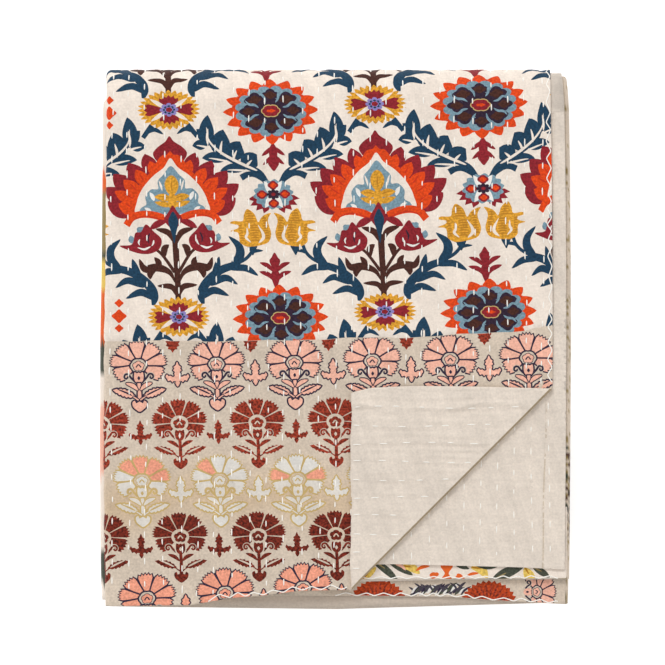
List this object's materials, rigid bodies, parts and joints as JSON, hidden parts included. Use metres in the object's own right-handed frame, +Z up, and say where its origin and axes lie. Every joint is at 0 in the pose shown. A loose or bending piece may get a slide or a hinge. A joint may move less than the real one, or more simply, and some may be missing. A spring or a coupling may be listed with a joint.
{
  "type": "folded quilt",
  "caption": "Hand-stitched cotton quilt folded flat into a neat stack, floral and sprig prints outside, one top corner turned back to show the plain backing.",
  "frame": {"origin": "middle of the bounding box at the resting face, on the surface that the folded quilt lies on", "axes": "+Z up through the layers; +Y along the longer side towards the wide fold, away from the bound ends; +X towards the side of the bound edge and the turned corner"},
  "size_m": [0.3346, 0.3808, 0.0383],
  "materials": {
    "printed_cotton": "matte slubby cotton with a block-printed look",
    "plain_backing": "matte plain cotton with fine crinkles",
    "thread": "cream cotton stitching thread"
  },
  "bodies": {
    "root": {"quilt": "printed_cotton"}
  },
  "joints": []
}
